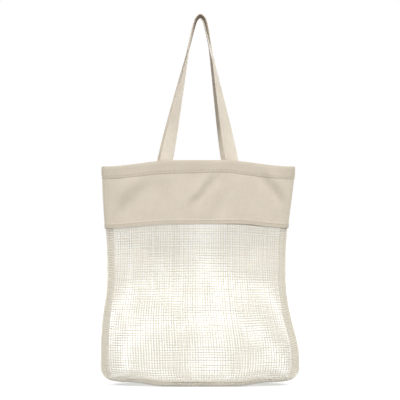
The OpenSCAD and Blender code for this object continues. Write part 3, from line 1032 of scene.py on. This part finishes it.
# The sewn ends lean in towards the middle, so their boxes' middles are not where they meet the rim
END_LEAN = math.radians(10.8)
end_spread = math.tan(END_LEAN) * SEWN_LENGTH
left_foot_x = (left_end_low[0] + left_end_high[0]) / 2 + end_spread / 2
right_foot_x = (right_end_low[0] + right_end_high[0]) / 2 - end_spread / 2
strap_foot_depth = -(left_end_low[1] + left_end_high[1]) / 2
strap_top_depth = (STRAP_WIDTH + 1) / 2


class Handle:
    """One strap handle, as the front one. s runs along it from its left sewn end, in mm."""

    def __init__(self, label, foot_shift, top_shift):
        self.label = label
        self.shifts = (foot_shift, top_shift)
        self.hinge_y, self.hinge_z = hinges[f"{label}_handle"][1:]
        self.top_z = strap_high[2] - STRAP_HALF
        reach = (right_foot_x - left_foot_x) / 2
        bend_z = self.top_z - TOP_BEND
        rise = bend_z - self.hinge_z
        span = math.hypot(reach, rise)
        lean = math.atan2(reach, rise) - math.asin(TOP_BEND / span)
        leg = math.sqrt(span**2 - TOP_BEND**2)
        self.sewn = SEWN_LENGTH + END_GAP
        t = np.arange(-self.sewn, leg, 0.5)
        x = -reach + t * math.sin(lean)
        z = self.hinge_z + t * math.cos(lean)
        angle = np.linspace(lean, QUARTER, 60)
        x = np.concatenate([x, -TOP_BEND * np.cos(angle)])
        z = np.concatenate([z, bend_z + TOP_BEND * np.sin(angle)])
        # drawn in to a point where the handle hangs
        x = x * (1 - PINCH * np.exp(-(self.top_z - z) / PINCH_LENGTH))
        x = np.concatenate([x, -x[-2::-1]])
        z = np.concatenate([z, z[-2::-1]])
        self.path_x, self.path_z = x, z
        self.arc = distances(np.stack([x, z], -1))
        self.heading = np.arctan2(np.gradient(x, self.arc), np.gradient(z, self.arc))
        self.length = float(self.arc[-1])

    def frames(self, s):
        """Middle, width direction and outward direction of the strap at distances along it."""
        s = np.asarray(s, float)
        x = np.interp(s, self.arc, self.path_x)
        z = np.interp(s, self.arc, self.path_z)
        heading = np.interp(s, self.arc, self.heading)
        share = np.clip((z - self.hinge_z) / (self.top_z - self.hinge_z), 0, 1)
        turn = QUARTER * (1 - (1 - share) ** TURN_POWER) + OVERTURN * ease(share, 0.5, 0.95)
        zero = np.zeros(s.shape)
        along = np.stack([np.sin(heading), zero, np.cos(heading)], -1)
        side = np.stack([np.cos(heading), zero, -np.sin(heading)], -1)
        wide = np.cos(turn)[..., None] * side + np.sin(turn)[..., None] * np.array([0, -1.0, 0])
        thick = np.cross(wide, along)
        middle = np.stack([
            x + mix(self.shifts[0], self.shifts[1], share),
            -mix(strap_foot_depth, strap_top_depth, share),
            z,
        ], -1)
        return middle, wide, thick

    def point(self, s, across, height):
        """A point of the strap at s, across its width and above its middle, lying on the hem."""
        middle, wide, thick = self.frames(s)
        free = np.clip((s - self.sewn) / (self.length - 2 * self.sewn), 0, 1)
        curl = STRAP_CURL * (2 * across / STRAP_WIDTH) ** 2 * np.sin(math.pi * free) ** 2
        p = middle + across[..., None] * wide + (height - curl)[..., None] * thick
        return self.settle(p), thick

    def settle(self, p):
        """Lays the sewn ends on the inside of the hem."""
        x, z = p[..., 0], p[..., 2]
        low = np.minimum(z, self.hinge_z)
        turn = np.arcsin(np.clip((x - drift(low)) / half_width(low), -0.98, 0.98))
        hem = body_point(turn, wall_level(low - NET_HALF))[..., 1] - (HEM_INNER - CANVAS_HALF)
        wanted = hem + STRAP_HALF + END_STANDOFF
        slack = wanted + strap_foot_depth
        shown = 1 - ease(z, self.hinge_z - 1.5, self.hinge_z + 16)
        p = p.copy()
        p[..., 1] = p[..., 1] + slack * shown
        return p


def foot_shift(label):
    """How far to the bag's right a handle's two ends are sewn on."""
    left = np.mean([corner[0] for corner in box_mm(f"{label}_left_handle_end")])
    right = np.mean([corner[0] for corner in box_mm(f"{label}_right_handle_end")])
    return (left + right) / 2


front_handle = Handle("front", foot_shift("front"), FRONT_TOP_SHIFT)
back_handle = Handle("back", foot_shift("back"), BACK_TOP_SHIFT)

# Half of the strap's outer face, from an edge to the middle: across, and above the strap's middle
HALF_FACE = [
    (-12.15, 0.62), (-11.2, 0.8), (-10.5, 0.76), (-10, 0.64),
    (-9.5, 0.76), (-8.8, 0.82), (-4.5, 0.86), (0, 0.88),
]


def strap_section():
    """The strap is canvas folded over on itself: round on its right edge, open on its left."""
    face = HALF_FACE + [(-a, h) for a, h in HALF_FACE[-2::-1]]
    right = [(12.5, 0.3), (12.55, 0), (12.5, -0.3)]
    under = [(a, -h) for a, h in face[::-1]]
    left = [(-12.5, -0.25), (-12.1, 0), (-12.5, 0.25)]
    return np.array(face + right + under + left, float)


def strap_distances(handle):
    """Distances along a strap for its rings, close together where it bends at the rim."""
    near = np.arange(0, handle.sewn - 3, 3)
    bend = np.arange(handle.sewn - 3, handle.sewn + 16, 0.8)
    leg = np.arange(handle.sewn + 16, handle.length / 2 - 24, 3)
    top = np.linspace(handle.length / 2 - 24, handle.length / 2, 22)
    half = np.concatenate([near, bend, leg, top])
    return np.concatenate([half, (handle.length - half)[-2::-1]])


def strap(handle, back):
    section = strap_section()
    places = strap_distances(handle)[:, None]
    places, across, height = np.broadcast_arrays(places, section[:, 0], section[:, 1])
    points, _ = handle.point(places, across, height)
    index = np.arange(places.size).reshape(places.shape)
    faces = ring_quads(index) + [index[0, ::-1].tolist(), index[-1].tolist()]
    inner = height < 0
    u = across + INNER_FACE_U * inner
    from_top = (places - handle.length / 2) / PAINTED_SHADE_LENGTH
    # painted shade on the inner face, strongest at the top of the handle
    painted_shade = PAINTED_SHADE_AMOUNT * inner * np.exp(-from_top**2)
    coords = np.stack([u, places, painted_shade], -1)
    label = handle.label
    piece = make_piece(f"{label}_strap", points, faces, coords, webbing, "strap_webbing", back)
    ends = [f"{label}_left_handle_end", f"{label}_right_handle_end"]
    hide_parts(f"{label}_handle_strap", *ends)
    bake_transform(piece)

    parts = []
    fine = np.arange(2.0, handle.length - 2.0, 0.5)
    for line in (-EDGE_LINE, EDGE_LINE):
        for face in (-1, 1):
            across = np.full(fine.shape, float(line))
            height = np.full(fine.shape, face * EDGE_STITCH_HEIGHT)
            path, thick = handle.point(fine, across, height)
            parts.append(stitched_line(path, face * thick, radius=0.2, proud=0.08))
    threads = make_piece(f"{label}_strap_stitches", *gather(parts), cotton_thread, "thread", back)
    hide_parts(f"{label}_handle_stitching")
    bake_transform(threads)


def tack(handle, name, back, centre):
    """A box of stitches with a cross, on the inner face of a sewn end."""
    half = TACK_SIZE / 2
    corners = [(-half, -half), (half, -half), (half, half), (-half, half)]
    lines = [(corners[k], corners[(k + 1) % 4]) for k in range(4)]
    lines += [(corners[0], corners[2]), (corners[1], corners[3])]
    parts = []
    for (a0, s0), (a1, s1) in lines:
        t = np.linspace(0, 1, 40)
        across = mix(a0, a1, t)
        s = centre + mix(s0, s1, t)
        path, thick = handle.point(s, across, np.full(t.shape, -TACK_HEIGHT))
        parts.append(stitched_line(path, -thick, pitch=2.9, length=2.3))
    bag_thread(name + "_stitches", name, parts, back)


for handle, back in ((front_handle, False), (back_handle, True)):
    strap(handle, back)
    centre = SEWN_LENGTH / 2
    tack(handle, f"{handle.label}_left_handle_tack", back, centre)
    tack(handle, f"{handle.label}_right_handle_tack", back, handle.length - centre)

# ---- stage, lights and camera


# Lengths from here on are metres
BAG_MIDDLE = np.array([0, 0, 0.33])
FLOOR_REACH = 12


def floor_material():
    s = Shader("pale_floor")
    # It glows towards the camera alone, and more with distance, so it runs into the white behind
    place = s.node("TexCoord").outputs["Object"]
    distance = s.node("VectorMath", [place], operation="LENGTH").outputs["Value"]
    near, far, near_glow, far_glow = 0.4, 2.2, 0.5, 0.9
    glow = s.node("MapRange", [distance, near, far, near_glow, far_glow]).outputs[0]
    seen = s.node("LightPath").outputs["Is Camera Ray"]
    s.connect(s.shader, {
        "Base Color": (0.5, 0.5, 0.5, 1),
        "Roughness": 0.9,
        "Specular IOR Level": 0.1,
        "Emission Color": (1, 1, 1, 1),
        "Emission Strength": s.calc("MULTIPLY", glow, seen),
    })
    return s.material


def make_floor():
    mesh = bpy.data.meshes.new("floor")
    reach = FLOOR_REACH
    corners = [(-reach, -reach, 0), (reach, -reach, 0), (reach, reach, 0), (-reach, reach, 0)]
    mesh.from_pydata(corners, [], [(0, 1, 2, 3)])
    mesh.materials.append(floor_material())
    floor = add_object("floor", mesh)
    # just under the bag, so that their faces don't coincide
    floor.location.z = -0.0006


def make_light(name, place, size, power):
    data = bpy.data.lights.new(name, "AREA")
    data.shape = "DISK"
    data.size = size
    data.energy = power
    lamp = add_object(name, data)
    lamp.location = place
    aim = BAG_MIDDLE - np.array(place)
    tilt = math.acos(-aim[2] / np.linalg.norm(aim))
    lamp.rotation_euler = (tilt, 0, math.atan2(aim[1], aim[0]) - QUARTER)


def make_camera():
    distance = 2.6
    eye_height = 0.3646
    width_in_view = 0.784
    front = -hinges["front_handle"][1] * MM
    data = bpy.data.cameras.new("camera")
    data.sensor_width = 36
    data.lens = data.sensor_width * (distance - front) / width_in_view
    data.clip_end = 50
    camera = add_object("camera", data)
    camera.location = (0, -distance, eye_height)
    camera.rotation_euler = (QUARTER, 0, 0)
    bpy.context.scene.camera = camera


def make_world():
    """White behind the bag, and a softer white that lights it."""
    world = bpy.data.worlds.new("studio")
    world.use_nodes = True
    tree = world.node_tree
    seen = tree.nodes.new("ShaderNodeLightPath").outputs["Is Camera Ray"]
    strength = tree.nodes.new("ShaderNodeMapRange")
    tree.links.new(seen, strength.inputs["Value"])
    strength.inputs["To Min"].default_value = 0.37
    strength.inputs["To Max"].default_value = 1.0
    background = tree.nodes["Background"]
    background.inputs["Color"].default_value = (1, 1, 1, 1)
    tree.links.new(strength.outputs[0], background.inputs["Strength"])
    bpy.context.scene.world = world


bpy.context.scene.view_settings.view_transform = "Standard"
make_world()
make_floor()
make_light("right_softbox", (2.1, -1.6, 2.1), size=0.8, power=78)
make_light("left_softbox", (-2.3, -1.5, 2.0), size=0.8, power=68)
make_light("back_softbox", (0.3, 2.4, 2.0), size=1.2, power=80)
make_camera()
